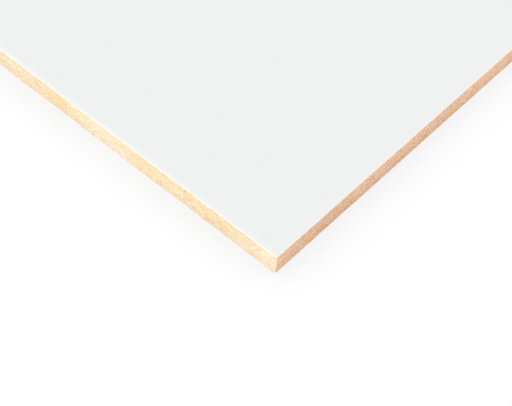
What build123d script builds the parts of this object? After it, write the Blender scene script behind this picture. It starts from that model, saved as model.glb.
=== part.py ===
from build123d import *
import os

os.makedirs("parts", exist_ok=True)

# Driving dimensions of the sheet, in millimetres
sheet_length = 2440.0  # along X, an eight foot stock sheet
sheet_width = 1220.0  # along Y, four feet
sheet_thickness = 18.0  # over both faces
film_thickness = 0.3  # resin filled paper pressed onto each face of the board
corner_radius = 1.0  # upright corners, blunted by sawing and handling
arris_ease = 0.1  # broken edge round the outside of each film

# The core fills what the two films leave of the thickness
core_thickness = sheet_thickness - 2 * film_thickness
top_film_base = film_thickness + core_thickness

# The saw goes through core and films together, so all three layers share one outline
with BuildSketch() as sawn_outline:
    RectangleRounded(sheet_length, sheet_width, corner_radius)

# Fibreboard core, bare on its four sawn edges
with BuildPart() as mdf_core:
    with BuildSketch(Plane.XY.offset(film_thickness)):
        add(sawn_outline.sketch)
    extrude(amount=core_thickness)
mdf_core.part.label = "mdf_core"
export_step(mdf_core.part, "parts/mdf_core.step")

# White face of the sheet, with the arris broken round its upper side
with BuildPart() as top_melamine_face:
    with BuildSketch(Plane.XY.offset(top_film_base)):
        add(sawn_outline.sketch)
    extrude(amount=film_thickness)
    upper_side = top_melamine_face.faces().sort_by(Axis.Z)[-1]
    chamfer(upper_side.edges(), length=arris_ease)
top_melamine_face.part.label = "top_melamine_face"
export_step(top_melamine_face.part, "parts/top_melamine_face.step")

# Balancing face on the underside, which keeps the board from bowing
with BuildPart() as bottom_melamine_face:
    with BuildSketch():
        add(sawn_outline.sketch)
    extrude(amount=film_thickness)
    lower_side = bottom_melamine_face.faces().sort_by(Axis.Z)[0]
    chamfer(lower_side.edges(), length=arris_ease)
bottom_melamine_face.part.label = "bottom_melamine_face"
export_step(bottom_melamine_face.part, "parts/bottom_melamine_face.step")
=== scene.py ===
"""Dresses a white melamine faced fibreboard sheet that lies flat on a pale studio floor.

The sheet is a sawn fibreboard core between two thin pressed films. Its four edges are bare, as the panel
saw left them, so the core carries the saw's marks, torn grain, loose fibres and a broken lower arris.
"""

import logging
import math
from collections.abc import Mapping, Sequence
from dataclasses import dataclass
from enum import Enum
from typing import Any, ClassVar

import bpy
import numpy as np
from mathutils import Matrix, Vector
from mathutils.geometry import delaunay_2d_cdt


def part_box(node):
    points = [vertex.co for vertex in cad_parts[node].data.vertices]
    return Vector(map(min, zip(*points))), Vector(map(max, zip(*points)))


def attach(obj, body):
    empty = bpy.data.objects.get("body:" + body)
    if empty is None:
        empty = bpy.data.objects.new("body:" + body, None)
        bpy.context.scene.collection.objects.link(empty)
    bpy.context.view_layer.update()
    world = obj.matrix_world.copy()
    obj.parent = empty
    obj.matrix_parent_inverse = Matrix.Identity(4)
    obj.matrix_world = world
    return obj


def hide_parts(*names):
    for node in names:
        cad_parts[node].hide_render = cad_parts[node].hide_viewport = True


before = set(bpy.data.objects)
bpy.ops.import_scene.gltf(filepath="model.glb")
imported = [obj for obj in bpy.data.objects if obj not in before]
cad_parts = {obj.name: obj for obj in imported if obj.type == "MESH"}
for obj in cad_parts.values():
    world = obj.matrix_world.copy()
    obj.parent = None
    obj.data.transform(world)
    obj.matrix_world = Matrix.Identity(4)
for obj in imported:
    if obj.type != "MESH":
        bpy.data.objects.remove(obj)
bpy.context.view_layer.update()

log = logging.getLogger("melamine_sheet")

Colour = tuple[float, float, float]

MM = 0.001
BODY = "root"
WHITE: Colour = (1.0, 1.0, 1.0)
OPAQUE = 1.0
UP = (0.0, 0.0, 1.0)
QUARTERS = 4

# The name of the map that a piece brings with it, for its finish to be baked to.
MAP_NAME = "OFBake"

# The middle of a noise texture's range, and the distance from it that the noise seldom passes.
NOISE_MIDDLE = 0.5
NOISE_REACH = 0.2

# The share at which two colours are mixed half and half.
EVEN_SHARE = 0.5

# How far in from the rim of a face each grid of its points begins, and the grid's spacing.
FACE_GRADING = ((4 * MM, 5 * MM), (16 * MM, 16 * MM), (55 * MM, 55 * MM))

# What the triangulation keeps, and the distance under which it takes two points for one.
FILL_INSIDE = 1
FILL_TOLERANCE = 1e-9


class Value:
    """A number that varies over a surface: a socket that Python's operators turn into Math nodes."""

    def __init__(self, graph: "NodeGraph", socket: bpy.types.NodeSocket) -> None:
        """Keeps the graph that new nodes go into and the socket that holds the number."""
        self.graph = graph
        self.socket = socket

    def __add__(self, other: "Value | float") -> "Value":
        """Returns this value plus another."""
        return self.graph.math("ADD", self, other)

    def __sub__(self, other: "Value | float") -> "Value":
        """Returns this value less another."""
        return self.graph.math("SUBTRACT", self, other)

    def __rsub__(self, other: float) -> "Value":
        """Returns a number less this value."""
        return self.graph.math("SUBTRACT", other, self)

    def __mul__(self, other: "Value | float") -> "Value":
        """Returns this value times another."""
        return self.graph.math("MULTIPLY", self, other)

    def __neg__(self) -> "Value":
        """Returns this value with its sign turned."""
        return 0.0 - self

    def __abs__(self) -> "Value":
        """Returns this value without its sign."""
        return self.graph.math("ABSOLUTE", self)

    __radd__ = __add__
    __rmul__ = __mul__

    def over(self, limit: float) -> "Value":
        """Returns 1 where this value is above a limit, and 0 elsewhere."""
        return self.graph.math("GREATER_THAN", self, limit)

    def larger(self, other: "Value | float") -> "Value":
        """Returns the larger of this value and another."""
        return self.graph.math("MAXIMUM", self, other)

    def rise(self, start: float, end: float) -> "Value":
        """Returns a smooth step from 0 at one value to 1 at another.

        Args:
            start: The value at which the step is 0.
            end: The value at which the step is 1.

        Returns:
            The step, held at 0 and 1 outside the two values.
        """
        made = self.graph.node(
            "ShaderNodeMapRange",
            {"interpolation_type": "SMOOTHSTEP"},
            {"Value": self, "From Min": start, "From Max": end},
        )
        return Value(self.graph, made.outputs["Result"])


class NodeGraph:
    """Adds nodes to one tree: a material's, the world's or a Geometry Nodes group's."""

    def __init__(self, tree: bpy.types.NodeTree) -> None:
        """Empties the tree and keeps it."""
        tree.nodes.clear()
        self.tree = tree

    def node(
        self,
        kind: str,
        settings: Mapping[str, Any] | None = None,
        inputs: Mapping[str | int, Any] | None = None,
    ) -> bpy.types.Node:
        """Adds one node.

        Args:
            kind: The node's type.
            settings: Its own properties, which are set before its sockets.
            inputs: A value, or something to link, for each socket, by identifier, name or index.

        Returns:
            The new node.
        """
        made = self.tree.nodes.new(kind)
        for name, value in (settings or {}).items():
            setattr(made, name, value)
        for key, value in (inputs or {}).items():
            self.feed(self.socket(made.inputs, key), value)
        return made

    def socket(self, sockets: Any, key: str | int) -> bpy.types.NodeSocket:
        """Returns a node's socket by its identifier, name or index."""
        by_identifier = {socket.identifier: socket for socket in sockets}
        return by_identifier[key] if key in by_identifier else sockets[key]

    def feed(self, socket: bpy.types.NodeSocket, value: Any) -> None:
        """Links a socket to what varies, or sets a constant on it.

        Args:
            socket: The socket.
            value: A value or another socket to link to it, or the constant.
        """
        if isinstance(value, Value):
            self.tree.links.new(value.socket, socket)
        elif isinstance(value, bpy.types.NodeSocket):
            self.tree.links.new(value, socket)
        elif socket.type == "RGBA":
            socket.default_value = (*value, OPAQUE)
        else:
            socket.default_value = value

    def math(self, operation: str, *operands: "Value | float") -> Value:
        """Adds a Math node on values and numbers, and returns its result."""
        made = self.node("ShaderNodeMath", {"operation": operation}, dict(enumerate(operands)))
        return Value(self, made.outputs[0])

    def vector(self, operation: str, *operands: Any) -> bpy.types.NodeSocket:
        """Adds a Vector Math node on vectors or colours, and returns its vector."""
        made = self.node("ShaderNodeVectorMath", {"operation": operation}, dict(enumerate(operands)))
        return made.outputs["Vector"]

    def scaled(self, vector: Any, factor: Value) -> bpy.types.NodeSocket:
        """Returns a vector or colour times a value."""
        made = self.node("ShaderNodeVectorMath", {"operation": "SCALE"}, {"Vector": vector, "Scale": factor})
        return made.outputs["Vector"]

    def parts(self, vector: Any) -> tuple[Value, Value, Value]:
        """Takes a vector apart.

        Args:
            vector: The vector or colour.

        Returns:
            Its three numbers.
        """
        made = self.node("ShaderNodeSeparateXYZ", inputs={"Vector": vector})
        x, y, z = (Value(self, output) for output in made.outputs)
        return x, y, z

    def blend(self, share: "Value | float", first: Any, second: Any) -> bpy.types.NodeSocket:
        """Mixes two colours.

        Args:
            share: The second colour's share, from 0 to 1.
            first: The first colour.
            second: The second colour.

        Returns:
            The mixed colour.
        """
        made = self.node(
            "ShaderNodeMix",
            {"data_type": "RGBA"},
            {"Factor_Float": share, "A_Color": first, "B_Color": second},
        )
        return self.socket(made.outputs, "Result_Color")


class SurfaceGraph(NodeGraph):
    """The nodes of one material, with the patterns that the sheet's finishes are made of."""

    def __init__(self, material: bpy.types.Material) -> None:
        """Starts the material's tree with the piece's own coordinates, in metres.

        Args:
            material: The material.
        """
        material.use_nodes = True
        super().__init__(material.node_tree)
        coordinates = self.node("ShaderNodeTexCoord")
        self.place = coordinates.outputs["Object"]
        self.normal = coordinates.outputs["Normal"]

    def stretched(self, length: float, height: float, shift: float) -> bpy.types.NodeSocket:
        """Returns the coordinates counted in cells of a length along the sheet and a height across it.

        Args:
            length: A cell's size along X and Y, in metres.
            height: A cell's size along Z, in metres.
            shift: How many cells the pattern is moved by, so that no two patterns fall together.

        Returns:
            The vector to give to a texture of scale 1.
        """
        cells = self.vector("MULTIPLY", self.place, (1 / length, 1 / length, 1 / height))
        return self.vector("ADD", cells, (shift, shift, shift))

    def noise(self, cells: Any, detail: float) -> Value:
        """Adds noise with features a cell in size.

        Args:
            cells: The coordinates counted in cells.
            detail: Octaves of finer noise.

        Returns:
            The noise, about zero and seldom past 1 either way.
        """
        made = self.node(
            "ShaderNodeTexNoise",
            {"noise_dimensions": "3D"},
            {"Vector": cells, "Scale": 1.0, "Detail": detail},
        )
        return (Value(self, made.outputs["Fac"]) - NOISE_MIDDLE) * (1 / NOISE_REACH)

    def finish(self, **inputs: Any) -> None:
        """Ends the tree in a Principled shader.

        Args:
            inputs: The shader's inputs, named with _ for a space.
        """
        shader = self.node(
            "ShaderNodeBsdfPrincipled",
            inputs={name.replace("_", " "): value for name, value in inputs.items()},
        )
        self.node("ShaderNodeOutputMaterial", inputs={"Surface": shader.outputs["BSDF"]})


@dataclass(frozen=True)
class Grain:
    """A layer of streaks that lie along the sheet.

    Attributes:
        length: A streak's length in metres.
        height: A streak's height in metres.
        detail: Octaves of finer noise.
        swing: How far it takes the surface one way or the other, as a share.
        shift: How many cells it is moved by, so that no two layers fall together.
    """

    length: float
    height: float
    detail: float
    swing: float
    shift: float

    def pattern(self, graph: SurfaceGraph) -> Value:
        """Returns the layer's swing at each place, about zero."""
        return graph.noise(graph.stretched(self.length, self.height, self.shift), self.detail) * self.swing


@dataclass(frozen=True)
class Specks:
    """Scattered specks of one colour.

    Attributes:
        length: The length of the cell that may hold a speck, in metres.
        height: The height of that cell in metres.
        reach: How far a speck reaches from its middle, in cells.
        share: The share of cells that hold one.
        strength: How much of its own colour a speck shows.
        shift: How many cells they are moved by.
        colour: A speck's colour.
    """

    length: float
    height: float
    reach: float
    share: float
    strength: float
    shift: float
    colour: Colour

    def over(self, graph: SurfaceGraph, ground: Any) -> bpy.types.NodeSocket:
        """Lays the specks over a ground.

        Args:
            graph: The material's nodes.
            ground: The ground's colour.

        Returns:
            The colour of the ground with the specks on it.
        """
        cells = graph.node(
            "ShaderNodeTexVoronoi",
            inputs={"Vector": graph.stretched(self.length, self.height, self.shift), "Scale": 1.0},
        )
        chosen = graph.parts(cells.outputs["Color"])[0].over(1.0 - self.share)
        near = Value(graph, cells.outputs["Distance"]).rise(self.reach, 0.0)
        return graph.blend(chosen * near * self.strength, ground, self.colour)


@dataclass(frozen=True)
class SawnFibreboard:
    """The bare sawn core: pressed fibres from cream to honey, with painted light that makes the lamp-facing
    end at -X yellower.

    Attributes:
        cream: The palest patches' colour.
        honey: The deepest patches' colour.
        patches: The broad patches in which one of the two prevails, as they show along the sides.
        end_contrast: How much stronger the patches are on the ends.
        clumps: The small clumps of fibres in which one of the two prevails.
        skin_and_glow_pale: How much creamier the board is near both faces: its dense skins, and near the
            upper film painted light that the white film scatters onto the edge.
        skin_start: Where the skins begin, as a share of the way from the middle of the board to its face.
        fresh: The tint of the yellower fibres.
        blush: The tint of the pinker fibres.
        hues: The small patches in which one of those prevails.
        straw: Painted light: a tint that gives the end at -X, which faces the lamp, the yellower look of
            strongly lit fibreboard.
        grains: The layers of lighter and darker streaks along the sides, from broad to fine.
        stain: How strongly the streaks change red, green and blue, so that the dark ones are the browner.
        end_streaks: How strong the streaks are on the ends, as a share of those along the sides.
        specks: The specks on them.
        relief: The height of the torn fibres in metres.
        roughness: The mean roughness.
        roughness_swing: How far the finest streaks take it up or down.
        shine: How strongly the surface mirrors, where 0.5 is usual.
    """

    cream: Colour = (0.900, 0.607, 0.436)
    honey: Colour = (0.872, 0.532, 0.295)
    patches: Grain = Grain(length=80 * MM, height=50 * MM, detail=1.5, swing=0.28, shift=15.225)
    end_contrast: float = 1.3
    clumps: Grain = Grain(length=6 * MM, height=3.5 * MM, detail=2.0, swing=0.42, shift=40.0)
    skin_and_glow_pale: float = 0.2
    skin_start: float = 0.7
    fresh: Colour = (0.978, 1.038, 0.989)
    blush: Colour = (1.022, 0.951, 0.996)
    hues: Grain = Grain(length=4 * MM, height=2 * MM, detail=1.0, swing=0.5, shift=50.0)
    straw: Colour = (0.810, 1.011, 1.045)
    grains: tuple[Grain, ...] = (
        Grain(length=110 * MM, height=60 * MM, detail=1.0, swing=0.055, shift=50.275),
        Grain(length=12 * MM, height=5 * MM, detail=1.0, swing=0.04, shift=10.0),
        Grain(length=5 * MM, height=1.6 * MM, detail=2.0, swing=0.03, shift=20.0),
        Grain(length=4 * MM, height=0.6 * MM, detail=1.0, swing=0.10, shift=60.0),
        Grain(length=1.4 * MM, height=0.6 * MM, detail=2.0, swing=0.36, shift=30.0),
    )
    stain: Colour = (0.78, 1.0, 1.28)
    end_streaks: float = 0.61
    specks: tuple[Specks, ...] = (
        Specks(
            length=3.2 * MM,
            height=1.6 * MM,
            reach=0.42,
            share=0.08,
            strength=0.6,
            shift=70.0,
            colour=(0.95, 0.78, 0.60),
        ),
        Specks(
            length=3.0 * MM,
            height=1.4 * MM,
            reach=0.34,
            share=0.05,
            strength=0.5,
            shift=80.0,
            colour=(0.45, 0.25, 0.13),
        ),
    )
    relief: float = 0.06 * MM
    roughness: float = 0.82
    roughness_swing: float = 0.05
    shine: float = 0.25

    def material(self, sizes: "SheetSizes") -> bpy.types.Material:
        """Builds the finish.

        Args:
            sizes: The sheet's sizes, which place the skins.

        Returns:
            The new material.
        """
        made = bpy.data.materials.new("sawn_fibreboard")
        graph = SurfaceGraph(made)
        facing = graph.parts(graph.normal)[0]
        streaks = [grain.pattern(graph) for grain in self.grains]
        streak = sum(streaks[1:], start=streaks[0]) * (1.0 - abs(facing) * (1.0 - self.end_streaks))
        tone = graph.vector("ADD", WHITE, graph.scaled(self.stain, streak))
        colour = graph.vector("MULTIPLY", self.ground(graph, sizes, facing), tone)
        for specks in self.specks:
            colour = specks.over(graph, colour)
        fine = streaks[-1] * (1 / self.grains[-1].swing)
        bump = graph.node("ShaderNodeBump", inputs={"Height": fine, "Distance": self.relief})
        graph.finish(
            Base_Color=colour,
            Roughness=fine * self.roughness_swing + self.roughness,
            Normal=bump.outputs["Normal"],
            Specular_IOR_Level=self.shine,
        )
        return made

    def ground(self, graph: SurfaceGraph, sizes: "SheetSizes", facing: Value) -> bpy.types.NodeSocket:
        """Returns the board's colour under its streaks and specks.

        Args:
            graph: The material's nodes.
            sizes: The sheet's sizes, which place the skins.
            facing: 1 on the end at +X, -1 on the end at -X and 0 along the sides.

        Returns:
            The colour.
        """
        patches = self.patches.pattern(graph) * (abs(facing) * self.end_contrast + 1.0)
        # Near both faces the board is made creamier: its dense skins, and painted light that the white upper
        # film scatters onto the edge.
        pale_share = patches + self.clumps.pattern(graph) + self.skins_and_film_glow(graph, sizes) + EVEN_SHARE
        hue = graph.blend(self.hues.pattern(graph) + EVEN_SHARE, self.fresh, self.blush)
        # The straw tint is painted light: it gives the end at -X, which faces the lamp, the yellower look of
        # strongly lit fibreboard.
        tint = graph.vector("MULTIPLY", hue, graph.blend(-facing, WHITE, self.straw))
        return graph.vector("MULTIPLY", graph.blend(pale_share, self.honey, self.cream), tint)

    def skins_and_film_glow(self, graph: SurfaceGraph, sizes: "SheetSizes") -> Value:
        """Makes the core creamier towards both faces: its dense skins, and near the upper film painted light
        from the white film.

        Args:
            graph: The material's nodes.
            sizes: The sheet's sizes, which place the skins.

        Returns:
            How much creamier the core is at each height.
        """
        half_core = (sizes.core_top - sizes.core_base) / 2
        from_middle = abs(graph.parts(graph.place)[2] - (sizes.core_base + half_core))
        return from_middle.rise(self.skin_start * half_core, half_core) * self.skin_and_glow_pale


@dataclass(frozen=True)
class PressedMelamine:
    """White resin filled paper, pressed to a fine satin grain, worn creamy where it was sawn.

    Attributes:
        white: Its colour.
        cloud: The faint unevenness of the paper.
        worn: Its colour at the sawn rim.
        worn_width: How far in from the rim that fades out, in metres.
        grain: The pressed grain.
        relief: The grain's height in metres.
        roughness: The mean roughness.
        roughness_swing: How far the grain takes it up or down.
    """

    white: Colour = (0.870, 0.884, 0.867)
    cloud: Grain = Grain(length=9 * MM, height=9 * MM, detail=3.0, swing=0.004, shift=3.0)
    worn: Colour = (0.945, 0.852, 0.755)
    worn_width: float = 1.5 * MM
    grain: Grain = Grain(length=0.8 * MM, height=0.8 * MM, detail=1.0, swing=1.0, shift=0.0)
    relief: float = 0.003 * MM
    roughness: float = 0.42
    roughness_swing: float = 0.03

    def material(self, sizes: "SheetSizes") -> bpy.types.Material:
        """Builds the finish.

        Args:
            sizes: The sheet's sizes, which place the rim.

        Returns:
            The new material.
        """
        made = bpy.data.materials.new("pressed_melamine")
        graph = SurfaceGraph(made)
        x, y, _ = (abs(part) for part in graph.parts(graph.place))
        to_rim = graph.math("MINIMUM", sizes.half_length - x, sizes.half_width - y)
        paper = graph.blend(to_rim.rise(self.worn_width, 0.0), self.white, self.worn)
        grain = self.grain.pattern(graph)
        bump = graph.node("ShaderNodeBump", inputs={"Height": grain, "Distance": self.relief})
        graph.finish(
            Base_Color=graph.scaled(paper, self.cloud.pattern(graph) + 1.0),
            Roughness=grain * self.roughness_swing + self.roughness,
            Normal=bump.outputs["Normal"],
        )
        return made


@dataclass(frozen=True)
class LooseFibre:
    """The fibres that the saw left standing on the edges, from bark brown to pale straw.

    Attributes:
        dark: The darkest fibres' colour.
        pale: The palest fibres' colour.
        mottle: The unevenness along a fibre.
        roughness: Their roughness.
        shine: How strongly they mirror, where 0.5 is usual.
    """

    dark: Colour = (0.62, 0.36, 0.21)
    pale: Colour = (0.92, 0.70, 0.49)
    mottle: Grain = Grain(length=1.5 * MM, height=1.5 * MM, detail=1.0, swing=0.06, shift=2.0)
    roughness: float = 0.85
    shine: float = 0.25

    def material(self) -> bpy.types.Material:
        """Builds the finish, which reads each fibre's own tone.

        Returns:
            The new material.
        """
        made = bpy.data.materials.new("loose_fibre")
        graph = SurfaceGraph(made)
        tone = graph.node("ShaderNodeAttribute", {"attribute_name": EdgeFibres.tone_name}).outputs["Fac"]
        colour = graph.scaled(graph.blend(tone, self.dark, self.pale), self.mottle.pattern(graph) + 1.0)
        graph.finish(Base_Color=colour, Roughness=self.roughness, Specular_IOR_Level=self.shine)
        return made


@dataclass(frozen=True)
class StudioWhite:
    """The floor: white to the camera with a painted soft shadow beside the sheet, and plain and pale to the
    light.

    Attributes:
        open_floor: The colour that the camera sees where nothing stands near.
        shade: The painted shadow colour that the camera sees at the foot of the sheet.
        lit_share: How much of what it sees is the floor as it is lit, and not that white with its painted
            shadow.
        reach: How far the sheet's painted shadow can reach, in metres.
        samples: How many rays look for the sheet from each place.
        wall_sky: The share of the sky that the floor still sees at the foot of a wall.
        clear_sky: The share from which the floor counts as open.
        bounce: The colour of the light that the open floor gives back.
        bounce_shade: The floor's colour to the light at the foot of the sheet: painted shade, which darkens
            the light it gives back onto the sheet's lower edges.
    """

    open_floor: Colour = (1.012, 1.012, 1.012)
    shade: Colour = (0.888, 0.900, 0.918)
    lit_share: float = 0.2
    reach: float = 120 * MM
    samples: int = 16
    wall_sky: float = 0.5
    clear_sky: float = 0.96
    bounce: Colour = WHITE
    bounce_shade: Colour = (0.5, 0.5, 0.5)

    def material(self) -> bpy.types.Material:
        """Builds the finish.

        Returns:
            The new material.
        """
        made = bpy.data.materials.new("studio_white")
        graph = SurfaceGraph(made)
        shadow = self.shadow(graph)
        # The camera sees a painted shadow: an emitted white that is darkened near the sheet.
        seen_colour = graph.blend(shadow, self.open_floor, self.shade)
        # The light sees painted shade in the floor's colour at the sheet's foot, which darkens the sheet's
        # lower edges.
        bounce_colour = graph.blend(shadow, self.bounce, self.bounce_shade)
        painted_floor = graph.node("ShaderNodeEmission", inputs={"Color": seen_colour}).outputs["Emission"]
        lit = graph.node("ShaderNodeBsdfDiffuse", inputs={"Color": WHITE}).outputs["BSDF"]
        returned = graph.node("ShaderNodeBsdfDiffuse", inputs={"Color": bounce_colour}).outputs["BSDF"]
        seen = graph.node("ShaderNodeMixShader", inputs={"Fac": self.lit_share, 1: painted_floor, 2: lit})
        mixed = graph.node(
            "ShaderNodeMixShader",
            inputs={"Fac": seen_directly(graph), 1: returned, 2: seen.outputs["Shader"]},
        )
        graph.node("ShaderNodeOutputMaterial", inputs={"Surface": mixed.outputs["Shader"]})
        return made

    def shadow(self, graph: SurfaceGraph) -> Value:
        """Works out the sheet's painted soft shadow on the floor, from how much of the sky each place sees.

        Args:
            graph: The material's nodes.

        Returns:
            The shade, 1 at the foot of the sheet and 0 in the open.
        """
        sky = graph.node("ShaderNodeAmbientOcclusion", {"samples": self.samples}, {"Distance": self.reach})
        openness = (Value(graph, sky.outputs["AO"]) - self.wall_sky) * (1 / (self.clear_sky - self.wall_sky))
        return 1.0 - openness * openness


def seen_directly(graph: NodeGraph) -> Value:
    """Tells the rays that show a surface, straight, mirrored or through glass, from those that light one.

    Args:
        graph: The nodes of a material or of the world.

    Returns:
        1 for a ray that shows a surface, and 0 for one that lights it.
    """
    path = graph.node("ShaderNodeLightPath")
    camera, glossy, through = (
        Value(graph, path.outputs[name]) for name in ("Is Camera Ray", "Is Glossy Ray", "Is Transmission Ray")
    )
    return camera.larger(glossy).larger(through)


@dataclass(frozen=True)
class SheetSizes:
    """The sheet's sizes in metres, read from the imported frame.

    Attributes:
        half_length: Half the sheet along X.
        half_width: Half the sheet along Y.
        core_base: The height of the core's underside.
        core_top: The height of the core's upper side.
        sheet_top: The height of the upper film's face.
    """

    half_length: float
    half_width: float
    core_base: float
    core_top: float
    sheet_top: float

    @classmethod
    def from_frame(cls) -> "SheetSizes":
        """Reads the sizes from the boxes of the CAD nodes.

        Returns:
            The sizes.
        """
        core_low, core_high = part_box("mdf_core")
        face_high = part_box("top_melamine_face")[1]
        return cls(core_high.x, core_high.y, core_low.z, core_high.z, face_high.z)


@dataclass(frozen=True)
class LatticeNoise:
    """Smooth noise from 0 to 1 over arrays of points, from a random number at each crossing of a lattice.

    Attributes:
        seed: The seed of the random numbers.
    """

    seed: int

    def field(self, along: np.ndarray, up: np.ndarray) -> np.ndarray:
        """Samples the noise.

        Args:
            along: Distances from 0 up, in cells.
            up: Heights from 0 up, in cells.

        Returns:
            The noise at each point.
        """
        column, row = np.floor(along).astype(int), np.floor(up).astype(int)
        table = np.random.default_rng(self.seed).random((row.max() + 2, column.max() + 2))
        across, rise = (share * share * (3 - 2 * share) for share in (along - column, up - row))
        lower = table[row, column] * (1 - across) + table[row, column + 1] * across
        upper = table[row + 1, column] * (1 - across) + table[row + 1, column + 1] * across
        return lower * (1 - rise) + upper * rise

    def line(self, along: np.ndarray) -> np.ndarray:
        """Samples the noise along a line, at distances counted in cells."""
        return self.field(along, np.zeros_like(along))


@dataclass(frozen=True)
class MapLayout:
    """How a slab lies on the square map that its finish is baked to: its sides in rows, its faces in strips.

    Attributes:
        lower_strip: The height of the lower face's strip, as a share of the map.
        upper_strip: The height of the upper face's strip.
        row: The height of one row of the sides.
        rows: The number of rows.
        gap: The gap round each row and strip.
    """

    lower_strip: float
    upper_strip: float
    row: float
    rows: int = 19
    gap: float = 0.002

    @property
    def width(self) -> float:
        """The width of a row or a strip, as a share of the map."""
        return 1 - 2 * self.gap

    def lay(self, mesh: bpy.types.Mesh, outline: "SawnOutline", rings: Sequence[np.ndarray]) -> None:
        """Gives a slab its map.

        Args:
            mesh: The slab, whose sides come before its two faces.
            outline: Its outline.
            rings: The rings of points that its sides were made of.
        """
        sides = self.sides(outline, rings)
        corners = np.empty(len(mesh.loops), dtype=np.int32)
        mesh.loops.foreach_get("vertex_index", corners)
        points = np.empty((len(mesh.vertices), 3), dtype=np.float32)
        mesh.vertices.foreach_get("co", points.ravel())
        laid = np.concatenate((sides, self.faces(points[corners[len(sides):]])))
        mesh.uv_layers.new(name=MAP_NAME).uv.foreach_set("vector", laid.astype(np.float32).ravel())

    def sides(self, outline: "SawnOutline", rings: Sequence[np.ndarray]) -> np.ndarray:
        """Lays the sides in rows.

        Args:
            outline: The slab's outline.
            rings: The rings of points that the sides were made of.

        Returns:
            Where each corner of the sides' faces lies on the map, level by level.
        """
        row_length = (outline.run[-1] + outline.hop[-1]) / self.rows
        row = np.minimum(outline.run // row_length, self.rows - 1)
        scale = self.width / (row_length + outline.hop.max())
        near = self.gap + (outline.run - row * row_length) * scale
        far = near + outline.hop * scale
        base = self.gap + row * (self.row + self.gap)
        climbs = [np.linalg.norm(upper - lower, axis=1).mean() for lower, upper in zip(rings, rings[1:])]
        heights = self.row * np.concatenate(([0.0], np.cumsum(climbs))) / sum(climbs)
        levels = []
        for low, high in zip(heights, heights[1:]):
            across = np.stack((near, far, far, near), axis=1)
            up = np.stack((base + low, base + low, base + high, base + high), axis=1)
            levels.append(np.stack((across, up), axis=2).reshape(-1, 2))
        return np.concatenate(levels)

    def faces(self, places: np.ndarray) -> np.ndarray:
        """Lays the two faces in strips, the lower one as it looks from below.

        Args:
            places: The place of each corner of the faces' triangles, in metres.

        Returns:
            Where each of those corners lies on the map.
        """
        half_x, half_y = np.abs(places[:, :2]).max(axis=0)
        upper = places[:, 2] > (places[:, 2].min() + places[:, 2].max()) / 2
        x_share = (1 + np.where(upper, 1, -1) * places[:, 0] / half_x) / 2
        y_share = (1 + places[:, 1] / half_y) / 2
        lower_base = self.gap + self.rows * (self.row + self.gap)
        base = np.where(upper, lower_base + self.lower_strip + self.gap, lower_base)
        height = np.where(upper, self.upper_strip, self.lower_strip)
        return np.column_stack((self.gap + self.width * x_share, base + height * y_share))


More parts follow.
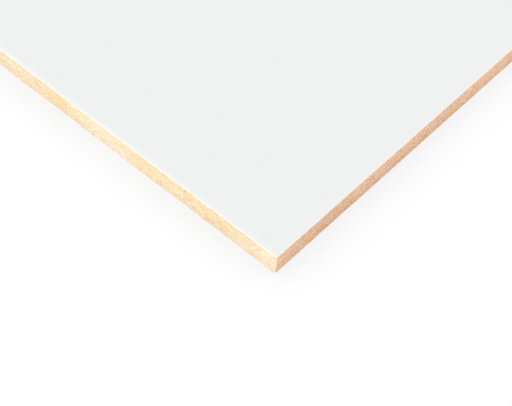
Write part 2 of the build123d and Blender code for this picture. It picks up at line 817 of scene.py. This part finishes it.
@dataclass(frozen=True)
class SawnOutline:
    """The outline that the panel saw cut, anticlockwise from above, as columns of points.

    Attributes:
        place: Each column's X and Y in metres.
        outward: The direction out of the sheet there.
        run: The distance along the outline in metres.
        hop: The distance to the next column in metres.
        corner: The distance along the outline to the nearest upright corner, in metres.
        room: How far a column can go into the sheet before it meets those round the corner, in metres.
    """

    place: np.ndarray
    outward: np.ndarray
    run: np.ndarray
    hop: np.ndarray
    corner: np.ndarray
    room: np.ndarray

    @classmethod
    def cut(
        cls,
        sizes: SheetSizes,
        corner_radius: float = 1.0 * MM,
        step: float = 1.2 * MM,
        corner_steps: int = 6,
        room_share: float = 0.9,
    ) -> "SawnOutline":
        """Runs round the sheet.

        Args:
            sizes: The sheet's sizes.
            corner_radius: The radius of its upright corners, in metres.
            step: The distance between columns along the straight edges, in metres.
            corner_steps: The number of steps round a corner.
            room_share: How much of the way to those round the corner a column may go.

        Returns:
            The outline.
        """
        places, directions, middles = [], [], []
        quarter_turn = math.tau / QUARTERS
        for quarter in range(QUARTERS):
            angle = quarter * quarter_turn + np.linspace(0, quarter_turn, corner_steps + 1)
            arc_direction = np.column_stack((np.cos(angle), np.sin(angle)))
            middles.append(sum(len(part) for part in places) + corner_steps // 2)
            places.append(cls.corner_centre(sizes, corner_radius, quarter) + corner_radius * arc_direction)
            directions.append(arc_direction)
            start = places[-1][-1]
            next_centre = cls.corner_centre(sizes, corner_radius, quarter + 1)
            end = next_centre + corner_radius * arc_direction[-1]
            count = round(float(np.linalg.norm(end - start)) / step)
            share = np.linspace(0, 1, count + 1)[1:-1, None]
            places.append(start + share * (end - start))
            directions.append(np.repeat(arc_direction[-1:], count - 1, axis=0))
        place, outward = np.concatenate(places), np.concatenate(directions)
        hop = np.linalg.norm(np.roll(place, -1, axis=0) - place, axis=1)
        run = np.concatenate(([0.0], np.cumsum(hop)[:-1]))
        away = np.abs(run[:, None] - run[middles][None, :])
        corner = np.minimum(away, hop.sum() - away).min(axis=1)
        past_arc = np.maximum(corner - corner_radius * quarter_turn / 2, 0.0)
        return cls(place, outward, run, hop, corner, room_share * (corner_radius + past_arc))

    @staticmethod
    def corner_centre(sizes: SheetSizes, corner_radius: float, quarter: int) -> np.ndarray:
        """Finds the centre of a corner's arc.

        Args:
            sizes: The sheet's sizes.
            corner_radius: The arc's radius in metres.
            quarter: The corner, counted anticlockwise from +X +Y.

        Returns:
            The centre's X and Y in metres.
        """
        sign_x = 1 if quarter % QUARTERS in (0, 3) else -1
        sign_y = 1 if quarter % QUARTERS in (0, 1) else -1
        return (np.array((sizes.half_length, sizes.half_width)) - corner_radius) * (sign_x, sign_y)

    def ring(self, height: float, inset: np.ndarray) -> np.ndarray:
        """Returns a closed ring of points at a height, moved into the sheet by each column's inset."""
        flat = self.place - self.outward * np.minimum(inset, self.room)[:, None]
        return np.column_stack((flat, np.full(len(flat), height)))

    def slab(self, name: str, rings: Sequence[np.ndarray], sharp: float, layout: MapLayout) -> bpy.types.Mesh:
        """Closes rings of points into a solid.

        Args:
            name: The mesh's name.
            rings: The rings, from the lowest to the highest.
            sharp: The angle in radians past which an edge is shaded as a sharp one.
            layout: How it is laid out on its map.

        Returns:
            The new mesh, smooth along its sides and flat on its two faces.
        """
        count = len(self.run)
        here = np.arange(count)
        ahead = np.roll(here, -1)
        sides = [
            np.column_stack((here, ahead, ahead + count, here + count)) + level * count
            for level in range(len(rings) - 1)
        ]
        faces = np.concatenate(sides).tolist()
        side_count = len(faces)
        points = np.concatenate(rings)
        for ring, first, turn in ((rings[0], 0, -1), (rings[-1], len(points) - count, 1)):
            inner, triangles = self.face(ring)
            spare = len(points) - first - count
            triangles = np.where(triangles < count, triangles, triangles + spare) + first
            faces += triangles[:, ::turn].tolist()
            points = np.concatenate((points, inner))
        made = bpy.data.meshes.new(name)
        made.from_pydata(points.tolist(), [], faces)
        made.polygons.foreach_set("use_smooth", np.arange(len(faces)) < side_count)
        made.set_sharp_from_angle(angle=sharp)
        layout.lay(made, self, rings)
        return made

    def face(self, ring: np.ndarray) -> tuple[np.ndarray, np.ndarray]:
        """Fills a level ring with triangles that grow towards its middle.

        Args:
            ring: The ring's points.

        Returns:
            The points added inside the ring, and the triangles, anticlockwise from above, whose numbers
            count the ring's points first and then the added ones.
        """
        count = len(ring)
        half = np.abs(ring[:, :2]).max(axis=0)
        inner = []
        for inset, spacing in FACE_GRADING:
            lines = [np.linspace(inset - far, far - inset, round(2 * far / spacing)) for far in half]
            grid = np.stack(np.meshgrid(*lines), axis=2).reshape(-1, 2)
            outermost = (np.abs(grid) > half - inset - spacing / 2).any(axis=1)
            inner.append(grid if (inset, spacing) == FACE_GRADING[-1] else grid[outermost])
        inside = np.concatenate(inner)
        flat = [Vector(point) for point in np.concatenate((ring[:, :2], inside)).tolist()]
        loop = [(index, (index + 1) % count) for index in range(count)]
        _, _, triangles, sources, _, _ = delaunay_2d_cdt(flat, loop, [], FILL_INSIDE, FILL_TOLERANCE)
        source = np.array([found[0] for found in sources])
        return np.column_stack((inside, np.full(len(inside), ring[0, 2]))), source[np.array(triangles)]


@dataclass(frozen=True)
class LowerArris:
    """The lower arris of the sawn edge, where the saw broke out fibres and film.

    Attributes:
        end_depth: The deepest breakout on the two ends, in metres.
        side_depth: The deepest breakout on the two long edges, in metres.
        long_nick: The length of the long breakouts in metres.
        short_nick: The length of the short ones in metres.
        long_share: How much of their pattern the long ones make.
        sound: The value of the pattern, from 0 to 1, up to which the arris is sound.
        deepest: The value from which a breakout is at its deepest.
        corner_depth: How far the lower tips of the upright corners are knocked back, in metres.
        corner_reach: How far from a corner that reaches, in metres.
        least_reach: How far up the edge the shallowest breakout goes, in metres.
        steepness: How much further up a breakout goes for each metre of its depth.
        seed: The seed of the breakouts.
    """

    end_depth: float = 0.45 * MM
    side_depth: float = 0.1 * MM
    long_nick: float = 11 * MM
    short_nick: float = 3 * MM
    long_share: float = 0.6
    sound: float = 0.35
    deepest: float = 0.75
    corner_depth: float = 0.6 * MM
    corner_reach: float = 1.5 * MM
    least_reach: float = 1.0 * MM
    steepness: float = 2.0
    seed: int = 11

    def depth(self, outline: SawnOutline) -> np.ndarray:
        """Breaks the arris.

        Args:
            outline: The sawn outline.

        Returns:
            How far the arris is broken back at each column, in metres.
        """
        long_nicks = LatticeNoise(self.seed).line(outline.run / self.long_nick)
        short_nicks = LatticeNoise(self.seed + 1).line(outline.run / self.short_nick)
        pattern = self.long_share * long_nicks + (1 - self.long_share) * short_nicks
        ragged = np.clip((pattern - self.sound) / (self.deepest - self.sound), 0, 1)
        facing_end = np.abs(outline.outward[:, 0])
        depth = self.side_depth + (self.end_depth - self.side_depth) * facing_end
        knock = self.corner_depth * np.exp(-((outline.corner / self.corner_reach) ** 2))
        return depth * ragged + knock


@dataclass
class SawnCore:
    """The fibreboard core with its four sawn edges.

    Attributes:
        sizes: The sheet's sizes.
        outline: The sawn outline.
        arris: The broken lower arris.
        levels: The heights of the rings of points above the core's underside, all but the last, in metres.
        hollow: How hollow a breakout of the lower arris is, where 1 is a straight slope.
        ripple: The depth of the saw's ripples in metres.
        ripple_length: The distance from one ripple to the next, in metres.
        ripple_slant: How far a ripple leans for each metre of height.
        wander: How many ripples, at most, their places drift by.
        wander_length: The length over which that drift changes, in metres.
        tear: The depth of the torn grain in metres.
        tear_length: A tear's length in metres.
        tear_height: A tear's height in metres.
        film_hold: The share of the core's height, under the upper film, over which the relief dies away.
        sharp: The angle past which its edges are shaded sharp, in radians.
        layout: How it is laid out on its map, where its hidden faces get little room.
        seed: The seed of the relief.
    """

    sizes: SheetSizes
    outline: SawnOutline
    arris: LowerArris
    levels: tuple[float, ...] = tuple(up * MM for up in (0, 0.4, 0.9, 1.6, 2.7, 4.6, 7.4, 10.6, 13.6, 16.2))
    hollow: float = 1.5
    ripple: float = 0.03 * MM
    ripple_length: float = 4.5 * MM
    ripple_slant: float = 0.18
    wander: float = 2.0
    wander_length: float = 36 * MM
    tear: float = 0.12 * MM
    tear_length: float = 6 * MM
    tear_height: float = 2 * MM
    film_hold: float = 0.25
    sharp: float = math.radians(50)
    layout: MapLayout = MapLayout(lower_strip=0.05, upper_strip=0.05, row=0.045)
    seed: int = 23

    @property
    def height(self) -> float:
        """The height of the core from film to film, in metres."""
        return self.sizes.core_top - self.sizes.core_base

    def build(self) -> bpy.types.Object:
        """Builds the core.

        Returns:
            The core.
        """
        name = "sawn_mdf_core"
        levels = (*self.levels, self.height)
        rings = [self.outline.ring(self.sizes.core_base + up, self.inset(up)) for up in levels]
        return add_object(name, self.outline.slab(name, rings, self.sharp, self.layout))

    def inset(self, up: float) -> np.ndarray:
        """Finds how far the sawn edge stands in from its outline.

        Args:
            up: The height above the core's underside, in metres.

        Returns:
            The inset at each column, in metres.
        """
        broken = self.arris.depth(self.outline)
        reach = self.arris.least_reach + self.arris.steepness * broken
        return self.relief(up) + broken * np.clip(1 - up / reach, 0, 1) ** self.hollow

    def relief(self, up: float) -> np.ndarray:
        """Finds how far the saw's marks and the torn grain go in.

        Args:
            up: The height above the core's underside, in metres.

        Returns:
            The depth at each column, in metres.
        """
        run = self.outline.run
        wander = self.wander * LatticeNoise(self.seed).line(run / self.wander_length)
        phase = math.tau * ((run + self.ripple_slant * up) / self.ripple_length + wander)
        heights = np.full_like(run, up / self.tear_height)
        torn = LatticeNoise(self.seed + 1).field(run / self.tear_length, heights)
        depth = self.ripple * (1 + np.sin(phase)) / 2 + self.tear * np.clip(2 * torn - 1, 0, 1)
        under_film = 1 - up / self.height
        return depth * min(1.0, under_film / self.film_hold)

    def dress(self, piece: bpy.types.Object, finish: bpy.types.Material) -> None:
        """Gives the core its finish and its place in the frame.

        Args:
            piece: The core.
            finish: Its material.
        """
        piece.data.materials.append(finish)
        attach(piece, BODY)
        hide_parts("mdf_core")


class FilmSide(Enum):
    """The two faces of the sheet, each with the CAD node of its film."""

    TOP = "top_melamine_face"
    BOTTOM = "bottom_melamine_face"


@dataclass
class MelamineFilm:
    """One pressed film, rolled over and chipped a little along its rim.

    Attributes:
        sizes: The sheet's sizes.
        outline: The sawn outline.
        side: Which face it covers.
        broken: How far the core under its rim is broken back at each column, in metres.
        roll_width: The width of the rolled rim in metres.
        roll_drop: How far the rim rolls down, in metres.
        roll: The rolled rim's section from its outer edge inwards, as shares of its width and its drop.
        chip: The depth of the largest chips in metres.
        chip_length: The length of a chip in metres.
        chip_start: The value of the chips' pattern, from 0 to 1, past which the rim is chipped.
        sharp: The angle past which its edges are shaded sharp, in radians.
        seen_strip: The height of its outer face on its map, as a share of the map.
        hidden_strip: The height of its glued face there.
        rim_row: The height of one row of its rim there.
        seed: The seed of the chips.
    """

    sizes: SheetSizes
    outline: SawnOutline
    side: FilmSide
    broken: np.ndarray
    roll_width: float = 1.1 * MM
    roll_drop: float = 0.2 * MM
    roll: tuple[tuple[float, float], ...] = ((0.0, 1.0), (0.08, 0.84), (0.85, 0.08), (1.0, 0.0))
    chip: float = 0.07 * MM
    chip_length: float = 3 * MM
    chip_start: float = 0.8
    sharp: float = math.radians(30)
    seen_strip: float = 0.5
    hidden_strip: float = 0.225
    rim_row: float = 0.012
    seed: int = 41

    def build(self) -> bpy.types.Object:
        """Builds the film.

        Returns:
            The film.
        """
        rim = [
            (self.roll_drop * drop, self.broken + self.roll_width * width + self.chips() * (1 - width))
            for width, drop in self.roll
        ]
        if self.side is FilmSide.TOP:
            name = "top_melamine_film"
            layout = MapLayout(lower_strip=self.hidden_strip, upper_strip=self.seen_strip, row=self.rim_row)
            sections = [(self.sizes.core_top, self.broken)]
            sections += [(self.sizes.sheet_top - drop, inset) for drop, inset in rim]
        else:
            name = "bottom_melamine_film"
            layout = MapLayout(lower_strip=self.seen_strip, upper_strip=self.hidden_strip, row=self.rim_row)
            sections = [(drop, inset) for drop, inset in reversed(rim)]
            sections += [(self.sizes.core_base, self.broken)]
        rings = [self.outline.ring(height, inset) for height, inset in sections]
        return add_object(name, self.outline.slab(name, rings, self.sharp, layout))

    def chips(self) -> np.ndarray:
        """Returns how far the rim is chipped at each column, in metres."""
        noise = LatticeNoise(self.seed + len(self.side.value)).line(self.outline.run / self.chip_length)
        return self.chip * np.clip((noise - self.chip_start) / (1 - self.chip_start), 0, 1)

    def dress(self, piece: bpy.types.Object, finish: bpy.types.Material) -> None:
        """Gives the film its finish and its place in the frame.

        Args:
            piece: The film.
            finish: Its material.
        """
        piece.data.materials.append(finish)
        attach(piece, BODY)
        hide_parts(self.side.value)


class FibreDraw(Enum):
    """What is drawn at random for each fibre, and how far each draw's seed lies from the scatter's."""

    LEAN = 1
    RADIUS = 2
    LENGTH = 3
    TONE = 4


@dataclass
class EdgeFibres:
    """The loose fibres on the sawn edges, scattered over the core by Geometry Nodes.

    Attributes:
        tone_name: The name of the attribute that holds each fibre's tone.
        sizes: The sheet's sizes.
        density: Fibres to a square metre.
        shortest: The shortest fibre in metres.
        longest: The longest fibre in metres.
        thinnest: The thinnest fibre's radius in metres.
        thickest: The thickest fibre's radius in metres.
        lean: How far a fibre may lean up or down, for each metre along the edge.
        margin: The least distance from a fibre's middle to the end of its edge or to a film, in metres.
        upright: How upright a face has to be to hold fibres, from 0 for level to 1.
        sides: The sides of a fibre.
        taper: The width of a fibre's tip, as a share of its root.
        seed: The seed of the scatter.
    """

    tone_name: ClassVar[str] = "tone"

    sizes: SheetSizes
    density: float = 90000.0
    shortest: float = 0.7 * MM
    longest: float = 2.8 * MM
    thinnest: float = 0.04 * MM
    thickest: float = 0.11 * MM
    lean: float = 0.35
    margin: float = 1.5 * MM
    upright: float = 0.5
    sides: int = 4
    taper: float = 0.3
    seed: int = 5

    def build(self, core: bpy.types.Object, finish: bpy.types.Material) -> bpy.types.Object:
        """Scatters the fibres over a core.

        Args:
            core: The sawn core.
            finish: The fibres' material, which the tree sets.

        Returns:
            The fibres as one plain mesh.
        """
        host = add_object("edge_fibres", core.data.copy())
        host.data.uv_layers.remove(host.data.uv_layers[MAP_NAME])
        tree, sizes = self.tree(finish)
        modifier = host.modifiers.new("fibres", "NODES")
        modifier.node_group = tree
        for identifier, value in sizes.items():
            modifier[identifier] = value
        evaluated = host.evaluated_get(bpy.context.evaluated_depsgraph_get())
        scattered = bpy.data.meshes.new_from_object(evaluated)
        host.modifiers.remove(modifier)
        host.data = scattered
        return host

    def tree(self, finish: bpy.types.Material) -> tuple[bpy.types.NodeTree, dict[str, float]]:
        """Builds the tree that scatters the fibres.

        Args:
            finish: The fibres' material.

        Returns:
            The tree, and a value for each of its sizes by the socket's identifier.
        """
        tree = bpy.data.node_groups.new("edge_fibres", "GeometryNodeTree")
        graph = NodeGraph(tree)
        tree.interface.new_socket("Sawn Core", in_out="INPUT", socket_type="NodeSocketGeometry")
        tree.interface.new_socket("Fibres", in_out="OUTPUT", socket_type="NodeSocketGeometry")
        named = {
            "Density": self.density,
            "Shortest": self.shortest,
            "Longest": self.longest,
            "Thinnest": self.thinnest,
            "Thickest": self.thickest,
            "Lean": self.lean,
            "Margin": self.margin,
        }
        sizes = {
            tree.interface.new_socket(name, in_out="INPUT", socket_type="NodeSocketFloat").identifier: value
            for name, value in named.items()
        }
        given = graph.node("NodeGroupInput").outputs
        points = self.scatter(graph, given)
        unit = 1.0
        fibre = graph.node(
            "GeometryNodeMeshCone",
            {"fill_type": "NGON"},
            {"Vertices": self.sides, "Radius Top": self.taper, "Radius Bottom": unit, "Depth": unit},
        )
        centred = graph.node(
            "GeometryNodeTransform",
            inputs={"Geometry": fibre.outputs["Mesh"], "Translation": (0.0, 0.0, -unit / 2)},
        )
        placed = graph.node(
            "GeometryNodeInstanceOnPoints",
            inputs={
                "Points": points.outputs["Points"],
                "Instance": centred.outputs["Geometry"],
                "Rotation": self.direction(graph, given, points),
                "Scale": self.scale(graph, given),
            },
        )
        toned = graph.node(
            "GeometryNodeStoreNamedAttribute",
            {"data_type": "FLOAT", "domain": "INSTANCE"},
            {
                "Geometry": placed.outputs["Instances"],
                "Name": self.tone_name,
                "Value": self.random(graph, 0.0, 1.0, FibreDraw.TONE),
            },
        )
        real = graph.node("GeometryNodeRealizeInstances", inputs={"Geometry": toned.outputs["Geometry"]})
        dressed = graph.node(
            "GeometryNodeSetMaterial",
            inputs={"Geometry": real.outputs["Geometry"], "Material": finish},
        )
        graph.node("NodeGroupOutput", inputs={"Fibres": dressed.outputs["Geometry"]})
        return tree, sizes

    def random(self, graph: NodeGraph, low: Any, high: Any, draw: FibreDraw) -> Value:
        """Draws a random number for each fibre.

        Args:
            graph: The tree's nodes.
            low: The lowest number.
            high: The highest number.
            draw: What the number is for.

        Returns:
            The number.
        """
        made = graph.node(
            "FunctionNodeRandomValue",
            {"data_type": "FLOAT"},
            {"Min_001": low, "Max_001": high, "Seed": self.seed + draw.value},
        )
        return Value(graph, graph.socket(made.outputs, "Value_001"))

    def scatter(self, graph: NodeGraph, given: Any) -> bpy.types.Node:
        """Scatters points over the sawn faces, clear of their ends and of the films.

        Args:
            graph: The tree's nodes.
            given: The sockets of the tree's inputs.

        Returns:
            The node that gives the points.
        """
        place = graph.node("GeometryNodeInputPosition").outputs["Position"]
        middle = (self.sizes.core_top + self.sizes.core_base) / 2
        from_middle = graph.vector("SUBTRACT", place, (0.0, 0.0, middle))
        x, y, z = (abs(part) for part in graph.parts(from_middle))
        to_corner = (self.sizes.half_length - x) + (self.sizes.half_width - y)
        to_film = self.sizes.core_top - middle - z
        room = graph.math("MINIMUM", to_corner, to_film) - Value(graph, given["Margin"])
        facing = graph.node("GeometryNodeInputNormal").outputs["Normal"]
        upright = 1.0 - abs(graph.parts(facing)[2])
        return graph.node(
            "GeometryNodeDistributePointsOnFaces",
            {"distribute_method": "RANDOM"},
            {
                "Mesh": given["Sawn Core"],
                "Selection": room.over(0.0) * upright.over(self.upright),
                "Density": given["Density"],
                "Seed": self.seed,
            },
        )

    def direction(self, graph: NodeGraph, given: Any, points: bpy.types.Node) -> bpy.types.NodeSocket:
        """Lays each fibre along its edge, leaning a little up or down.

        Args:
            graph: The tree's nodes.
            given: The sockets of the tree's inputs.
            points: The node that gives the points.

        Returns:
            Each fibre's turn.
        """
        along = graph.vector("CROSS_PRODUCT", UP, points.outputs["Normal"])
        lean = self.random(graph, -1.0, 1.0, FibreDraw.LEAN) * Value(graph, given["Lean"])
        upward = graph.scaled(UP, lean)
        turned = graph.node(
            "FunctionNodeAlignRotationToVector",
            {"axis": "Z"},
            {"Vector": graph.vector("ADD", along, upward)},
        )
        return turned.outputs["Rotation"]

    def scale(self, graph: NodeGraph, given: Any) -> bpy.types.NodeSocket:
        """Draws each fibre's radius and length.

        Args:
            graph: The tree's nodes.
            given: The sockets of the tree's inputs.

        Returns:
            The radius, twice, and the length.
        """
        radius = self.random(graph, given["Thinnest"], given["Thickest"], FibreDraw.RADIUS)
        length = self.random(graph, given["Shortest"], given["Longest"], FibreDraw.LENGTH)
        made = graph.node("ShaderNodeCombineXYZ", inputs={"X": radius, "Y": radius, "Z": length})
        return made.outputs["Vector"]

    def dress(self, piece: bpy.types.Object) -> None:
        """Gives the fibres their place in the frame."""
        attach(piece, BODY)


@dataclass(frozen=True)
class Lamp:
    """A broad soft lamp, far away.

    Attributes:
        name: Its name.
        towards: The direction from the sheet towards it.
        light: How much it lights a surface that faces it, where 1 shows a white surface as white.
        spread: How wide it looks from the sheet, in radians.
        colour: Its colour.
    """

    name: str
    towards: Vector
    light: float
    spread: float
    colour: Colour

    def hang(self) -> None:
        """Adds the lamp to the scene."""
        data = bpy.data.lights.new(self.name, "SUN")
        data.energy = self.light * math.pi
        data.angle = self.spread
        data.color = self.colour
        made = bpy.data.objects.new(self.name, data)
        made.rotation_euler = self.towards.to_track_quat("Z", "Y").to_euler()
        bpy.context.scene.collection.objects.link(made)


@dataclass
class Studio:
    """The white floor, the sky, the lamp and the camera.

    Attributes:
        sizes: The sheet's sizes.
        floor_half: Half the floor's side in metres.
        floor_drop: How far the floor lies under the sheet, in metres.
        sky_light: How much the sky lights the sheet, where 1 shows a white surface as white.
        sky_colour: The colour of that light.
        key: The lamp.
        lens: The camera's lens in millimetres.
        sensor: The width of its sensor in millimetres.
        from_corner: The camera's place from the foot of the nearest corner, in metres.
        yaw: The way it looks, in degrees from +X towards +Y.
        pitch: How far down it looks, in degrees.
        roll: How far it is tilted, in degrees.
    """

    sizes: SheetSizes
    floor_half: float = 60.0
    floor_drop: float = 0.02 * MM
    sky_light: float = 0.66
    sky_colour: Colour = (0.99, 1.0, 1.02)
    key: Lamp = Lamp(
        name="key_lamp",
        towards=Vector((-0.66, -0.14, 0.34)),
        light=0.7555,
        spread=math.radians(35),
        colour=(1.0, 0.99, 0.985),
    )
    lens: float = 85.411
    sensor: float = 36.0
    from_corner: tuple[float, float, float] = (-380.204 * MM, -275.610 * MM, 665.075 * MM)
    yaw: float = 37.97367
    pitch: float = 51.53858
    roll: float = 4.97985

    def build(self) -> None:
        """Sets up the floor, the sky, the lamp and the camera."""
        self.lay_floor()
        self.light_sky()
        self.key.hang()
        self.set_camera()

    def lay_floor(self) -> None:
        """Lays the floor under the sheet."""
        far, low = self.floor_half, -self.floor_drop
        corners = [(-far, -far, low), (far, -far, low), (far, far, low), (-far, far, low)]
        mesh = bpy.data.meshes.new("studio_floor")
        mesh.from_pydata(corners, [], [tuple(range(len(corners)))])
        mesh.materials.append(StudioWhite().material())
        add_object("studio_floor", mesh)

    def light_sky(self) -> None:
        """Makes a sky that looks white and lights the sheet evenly from above."""
        world = bpy.data.worlds.new("studio_sky")
        world.use_nodes = True
        graph = NodeGraph(world.node_tree)
        seen = seen_directly(graph)
        strength = seen * (1.0 - self.sky_light) + self.sky_light
        colour = graph.blend(seen, self.sky_colour, WHITE)
        sky = graph.node("ShaderNodeBackground", inputs={"Color": colour, "Strength": strength})
        graph.node("ShaderNodeOutputWorld", inputs={"Surface": sky.outputs["Background"]})
        bpy.context.scene.world = world

    def set_camera(self) -> None:
        """Puts the camera where the photograph was taken from."""
        data = bpy.data.cameras.new("camera")
        data.sensor_fit = "HORIZONTAL"
        data.sensor_width = self.sensor
        data.lens = self.lens
        camera = bpy.data.objects.new("camera", data)
        corner = Vector((-self.sizes.half_length, -self.sizes.half_width, 0.0))
        camera.matrix_world = self.camera_place(corner + Vector(self.from_corner))
        bpy.context.scene.collection.objects.link(camera)
        bpy.context.scene.camera = camera

    def camera_place(self, position: Vector) -> Matrix:
        """Works out the camera's matrix from its yaw, pitch and roll.

        Args:
            position: The camera's place in metres.

        Returns:
            The matrix.
        """
        yaw, pitch, roll = (math.radians(angle) for angle in (self.yaw, self.pitch, self.roll))
        level = math.cos(pitch)
        forward = Vector((math.cos(yaw) * level, math.sin(yaw) * level, -math.sin(pitch)))
        right = Vector((math.sin(yaw), -math.cos(yaw), 0.0))
        up = right.cross(forward)
        tilted_right = math.cos(roll) * right + math.sin(roll) * up
        tilted_up = math.cos(roll) * up - math.sin(roll) * right
        turned = Matrix((tilted_right, tilted_up, -forward)).transposed()
        return Matrix.Translation(position) @ turned.to_4x4()


def add_object(name: str, mesh: bpy.types.Mesh) -> bpy.types.Object:
    """Adds an object at the origin, with its place in its mesh.

    Args:
        name: The object's name.
        mesh: Its mesh.

    Returns:
        The new object.
    """
    made = bpy.data.objects.new(name, mesh)
    bpy.context.scene.collection.objects.link(made)
    return made


def report(piece: bpy.types.Object) -> None:
    """Logs a piece's name and size."""
    log.info("%s: %d points, %d faces", piece.name, len(piece.data.vertices), len(piece.data.polygons))


def main() -> None:
    """Builds the sheet, dresses it and sets up the studio."""
    logging.basicConfig(level=logging.INFO, format="%(name)s: %(message)s")
    bpy.context.scene.view_settings.view_transform = "Standard"
    sizes = SheetSizes.from_frame()
    outline = SawnOutline.cut(sizes)
    fibreboard = SawnFibreboard().material(sizes)
    melamine = PressedMelamine().material(sizes)

    core = SawnCore(sizes, outline, LowerArris())
    core_piece = core.build()
    fibres = EdgeFibres(sizes)
    fibre_piece = fibres.build(core_piece, LooseFibre().material())
    core.dress(core_piece, fibreboard)
    fibres.dress(fibre_piece)
    report(core_piece)
    report(fibre_piece)

    unbroken = np.zeros_like(outline.run)
    for side, broken in ((FilmSide.TOP, unbroken), (FilmSide.BOTTOM, core.inset(0.0))):
        film = MelamineFilm(sizes, outline, side, broken)
        film_piece = film.build()
        film.dress(film_piece, melamine)
        report(film_piece)

    Studio(sizes).build()


if __name__ == "__main__":
    main()
